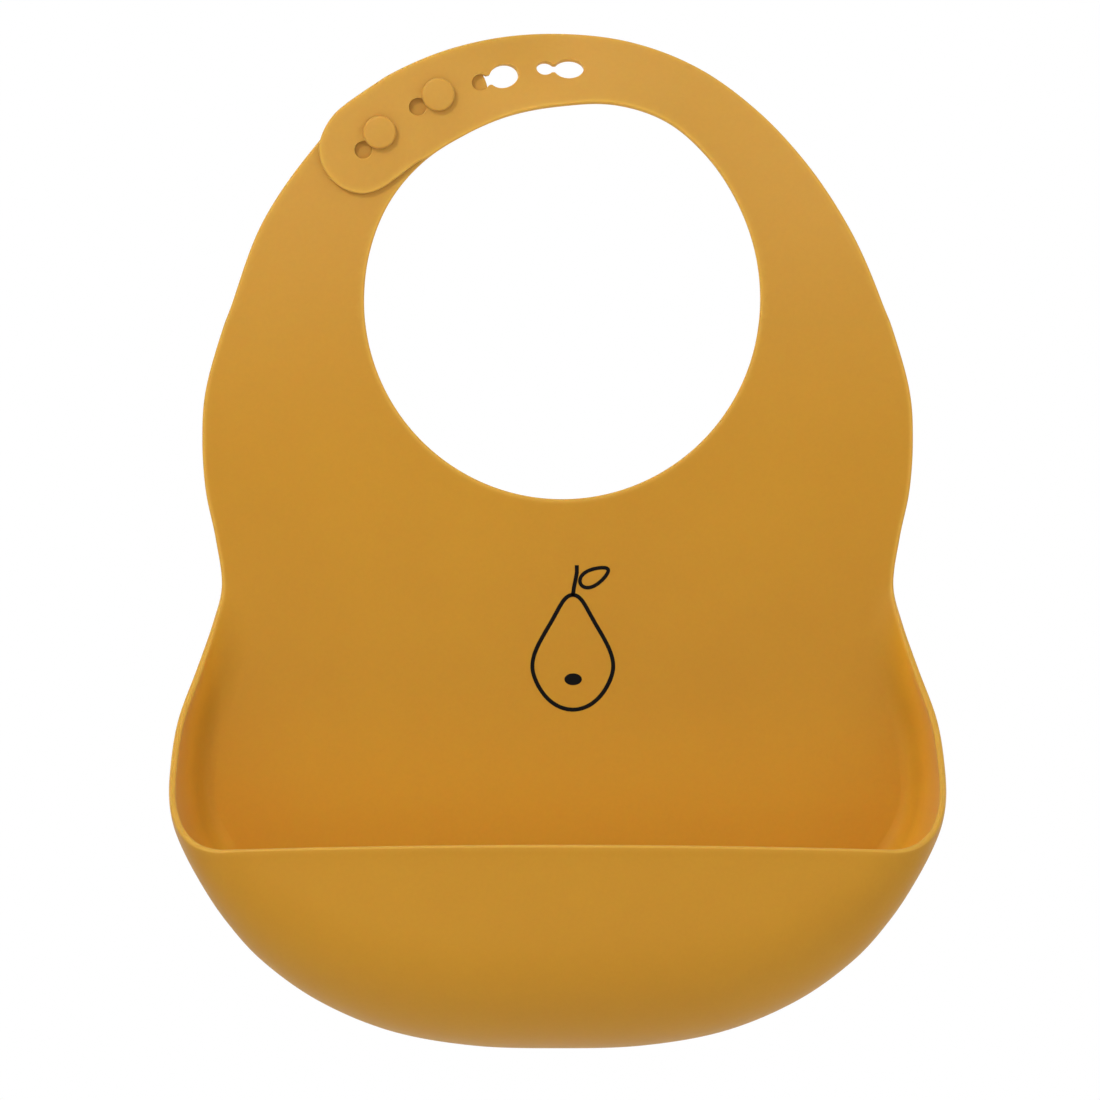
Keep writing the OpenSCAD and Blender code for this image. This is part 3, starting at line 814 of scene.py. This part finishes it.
def silicone():
    m = bpy.data.materials.new("matte_silicone")
    m.use_nodes = True
    nt = m.node_tree
    nt.nodes.clear()
    out = nt.nodes.new("ShaderNodeOutputMaterial")
    p = nt.nodes.new("ShaderNodeBsdfPrincipled")
    nt.links.new(p.outputs[0], out.inputs[0])
    tc = nt.nodes.new("ShaderNodeTexCoord")
    big = nt.nodes.new("ShaderNodeTexNoise")
    big.inputs["Scale"].default_value = 14
    big.inputs["Detail"].default_value = 3
    nt.links.new(tc.outputs["Object"], big.inputs["Vector"])
    ramp = nt.nodes.new("ShaderNodeValToRGB")
    ramp.color_ramp.elements[0].position, ramp.color_ramp.elements[1].position = 0.3, 0.7
    ramp.color_ramp.elements[0].color = SILICONE_DEEP
    ramp.color_ramp.elements[1].color = SILICONE_CLEAR
    nt.links.new(big.outputs["Fac"], ramp.inputs["Fac"])
    split = nt.nodes.new("ShaderNodeSeparateXYZ")
    nt.links.new(tc.outputs["Object"], split.inputs[0])
    # a painted sheen: the colour turns paler toward the top, as if lit from above
    height_of = nt.nodes.new("ShaderNodeMapRange")
    height_of.interpolation_type = "SMOOTHSTEP"
    height_of.inputs["From Min"].default_value, height_of.inputs["From Max"].default_value = SHEEN_PAINT_FROM, SHEEN_PAINT_TO
    nt.links.new(split.outputs["Z"], height_of.inputs["Value"])
    pale = nt.nodes.new("ShaderNodeMix")
    pale.data_type = "RGBA"
    pale.inputs["B"].default_value = SILICONE_SHEEN_PAINT
    nt.links.new(height_of.outputs["Result"], pale.inputs["Factor"])
    nt.links.new(ramp.outputs["Color"], pale.inputs["A"])
    # painted light that brightens the inside of the pocket
    pocket_light_at = nt.nodes.new("ShaderNodeAttribute")
    pocket_light_at.attribute_name = "inside"
    pocket_light_paint = nt.nodes.new("ShaderNodeMix")
    pocket_light_paint.data_type = "RGBA"
    pocket_light_paint.inputs["B"].default_value = SILICONE_POCKET_LIGHT_PAINT
    nt.links.new(pocket_light_at.outputs["Fac"], pocket_light_paint.inputs["Factor"])
    nt.links.new(pale.outputs["Result"], pocket_light_paint.inputs["A"])
    fine = nt.nodes.new("ShaderNodeTexNoise")
    fine.inputs["Scale"].default_value = 900
    fine.inputs["Detail"].default_value = 4
    nt.links.new(tc.outputs["Object"], fine.inputs["Vector"])
    # a painted highlight along the edges
    edge_highlight_at = nt.nodes.new("ShaderNodeAttribute")
    edge_highlight_at.attribute_name = "rim"
    edge_highlight_amount = nt.nodes.new("ShaderNodeMath")
    edge_highlight_amount.operation = "MULTIPLY"
    edge_highlight_amount.inputs[1].default_value = EDGE_HIGHLIGHT_SHARE
    nt.links.new(edge_highlight_at.outputs["Fac"], edge_highlight_amount.inputs[0])
    edge_highlight_paint = nt.nodes.new("ShaderNodeMix")
    edge_highlight_paint.data_type = "RGBA"
    edge_highlight_paint.inputs["B"].default_value = SILICONE_EDGE_HIGHLIGHT
    nt.links.new(edge_highlight_amount.outputs[0], edge_highlight_paint.inputs["Factor"])
    nt.links.new(pocket_light_paint.outputs["Result"], edge_highlight_paint.inputs["A"])
    mix = nt.nodes.new("ShaderNodeMix")
    mix.data_type = "RGBA"
    mix.blend_type = "MULTIPLY"
    mix.inputs["Factor"].default_value = 1.0
    tone = nt.nodes.new("ShaderNodeMapRange")
    tone.inputs["From Min"].default_value, tone.inputs["From Max"].default_value = 0.3, 0.7
    tone.inputs["To Min"].default_value, tone.inputs["To Max"].default_value = 0.985, 1.015
    nt.links.new(fine.outputs["Fac"], tone.inputs["Value"])
    nt.links.new(edge_highlight_paint.outputs["Result"], mix.inputs["A"])
    nt.links.new(tone.outputs["Result"], mix.inputs["B"])
    nt.links.new(mix.outputs["Result"], p.inputs["Base Color"])
    rough = nt.nodes.new("ShaderNodeMapRange")
    rough.inputs["To Min"].default_value, rough.inputs["To Max"].default_value = 0.56, 0.66
    nt.links.new(big.outputs["Fac"], rough.inputs["Value"])
    nt.links.new(rough.outputs["Result"], p.inputs["Roughness"])
    p.inputs["Specular IOR Level"].default_value = 0.32
    p.inputs["Sheen Weight"].default_value = 0.14
    p.inputs["Sheen Roughness"].default_value = 0.45
    p.inputs["Subsurface Weight"].default_value = 0.3
    p.inputs["Subsurface Radius"].default_value = (1.0, 0.45, 0.1)
    p.inputs["Subsurface Scale"].default_value = 0.0022
    bump = nt.nodes.new("ShaderNodeBump")
    bump.inputs["Strength"].default_value = 0.12
    bump.inputs["Distance"].default_value = 0.0002
    nt.links.new(fine.outputs["Fac"], bump.inputs["Height"])
    nt.links.new(bump.outputs["Normal"], p.inputs["Normal"])
    return m


def ink_material():
    m = bpy.data.materials.new("black_ink")
    m.use_nodes = True
    nt = m.node_tree
    p = nt.nodes["Principled BSDF"]
    tc = nt.nodes.new("ShaderNodeTexCoord")
    noise = nt.nodes.new("ShaderNodeTexNoise")
    noise.inputs["Scale"].default_value = 1200
    nt.links.new(tc.outputs["Object"], noise.inputs["Vector"])
    ramp = nt.nodes.new("ShaderNodeValToRGB")
    ramp.color_ramp.elements[0].color = INK_DARK
    ramp.color_ramp.elements[1].color = INK_LIGHT
    nt.links.new(noise.outputs["Fac"], ramp.inputs["Fac"])
    nt.links.new(ramp.outputs["Color"], p.inputs["Base Color"])
    p.inputs["Roughness"].default_value = 0.6
    p.inputs["Specular IOR Level"].default_value = 0.08
    return m


rubber, ink = silicone(), ink_material()
for o in (shell, left, right, end, stud_a, stud_b):
    o.data.materials.append(rubber)
for o in (outline, spot):
    o.data.materials.append(ink)

# ---------------------------------------------------------------- what follows what
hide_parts("chest_panel", "side_wall_left", "side_wall_right", "pocket_floor", "rim_bead_left",
            "rim_bead_right", "pocket_scoop", "pocket_lip")
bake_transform(shell)
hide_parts("stud_strap")
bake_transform(left)
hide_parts("keyhole_strap")
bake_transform(right)
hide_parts("strap_end")
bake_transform(end)
for o, node in ((stud_a, "stud_lower"), (stud_b, "stud_upper")):
    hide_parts(node)
    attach(o, "stud_strap")
for o, node in ((outline, "printed_outline"), (spot, "printed_spot")):
    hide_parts(node)
    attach(o, "bib")

# ---------------------------------------------------------------- floor, light and camera
def plain(name, colour, rough):
    m = bpy.data.materials.new(name)
    m.use_nodes = True
    p = m.node_tree.nodes["Principled BSDF"]
    p.inputs["Base Color"].default_value = colour
    p.inputs["Roughness"].default_value = rough
    return m


FLOOR_SIZE, FLOOR_DROP = 16, 0.45      # metres; the bib hangs above the floor
low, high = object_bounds()
bpy.ops.mesh.primitive_plane_add(size=FLOOR_SIZE, location=(0, 0, low[2] - FLOOR_DROP))
floor = bpy.context.object
floor.name = "floor"
floor.data.materials.append(plain("pale_floor", (0.88, 0.88, 0.88, 1), 0.95))

world = bpy.data.worlds.new("studio")
world.use_nodes = True
nt = world.node_tree
sky = nt.nodes["Background"]
coord = nt.nodes.new("ShaderNodeTexCoord")
split = nt.nodes.new("ShaderNodeSeparateXYZ")
ramp = nt.nodes.new("ShaderNodeValToRGB")
fit = nt.nodes.new("ShaderNodeMapRange")
fit.inputs["From Min"].default_value, fit.inputs["From Max"].default_value = -1, 1
nt.links.new(coord.outputs["Generated"], split.inputs[0])
nt.links.new(split.outputs["Z"], fit.inputs["Value"])
nt.links.new(fit.outputs["Result"], ramp.inputs["Fac"])
ramp.color_ramp.elements[0].position, ramp.color_ramp.elements[1].position = 0.3, 0.85
ramp.color_ramp.elements[0].color = (0.22, 0.22, 0.22, 1)
ramp.color_ramp.elements[1].color = (0.75, 0.75, 0.75, 1)
nt.links.new(ramp.outputs["Color"], sky.inputs["Color"])
sky.inputs["Strength"].default_value = 0.54
paper = nt.nodes.new("ShaderNodeBackground")
paper.inputs["Color"].default_value = (1, 1, 1, 1)
paper.inputs["Strength"].default_value = 1.0
path = nt.nodes.new("ShaderNodeLightPath")
seen = nt.nodes.new("ShaderNodeMixShader")      # white behind the bib, softer light on it
nt.links.new(path.outputs["Is Camera Ray"], seen.inputs[0])
nt.links.new(sky.outputs[0], seen.inputs[1])
nt.links.new(paper.outputs[0], seen.inputs[2])
nt.links.new(seen.outputs[0], nt.nodes["World Output"].inputs["Surface"])
bpy.context.scene.world = world


AIM = (0, 0, -0.07)


def area(name, at, size, power):
    data = bpy.data.lights.new(name, "AREA")
    data.shape = "DISK"
    data.size = size
    data.energy = power
    o = bpy.data.objects.new(name, data)
    bpy.context.scene.collection.objects.link(o)
    o.location = at
    o.visible_camera = False
    o.rotation_euler = (Vector(AIM) - Vector(at)).to_track_quat("-Z", "Y").to_euler()


area("key", (-0.42, -0.72, 0.58), 0.16, 3.6)
area("front", (0.0, -3.64, 0.63), 1.96, 21.5)
area("right_fill", (3.0, -2.2, 0.7), 3.5, 35)
area("left_fill", (-3.0, -2.2, 0.7), 3.5, 28)
area("top", (-0.2, -0.6, 2.2), 1.4, 8)
area("back_left", (-1.9, 2.4, 0.9), 2.0, 26)
area("back_right", (1.9, 2.4, 0.9), 2.0, 26)

DIST, NEAR_FACE = 10.0, 0.008          # FRAME_WIDTH is what shows at NEAR_FACE in front of the chest's middle
SENSOR, FRAME_WIDTH = 36, 0.32571
VIEW_X, VIEW_Z = -0.00355, -0.0737
cam = bpy.data.cameras.new("camera")
cam.sensor_width = SENSOR
cam.lens = SENSOR * (DIST - NEAR_FACE) / FRAME_WIDTH
cam.clip_end = 60
camera = bpy.data.objects.new("camera", cam)
camera.location = (VIEW_X, -DIST, VIEW_Z)
camera.rotation_euler = (math.radians(90), 0, 0)
bpy.context.scene.collection.objects.link(camera)
bpy.context.scene.camera = camera
bpy.context.scene.view_settings.view_transform = "Standard"
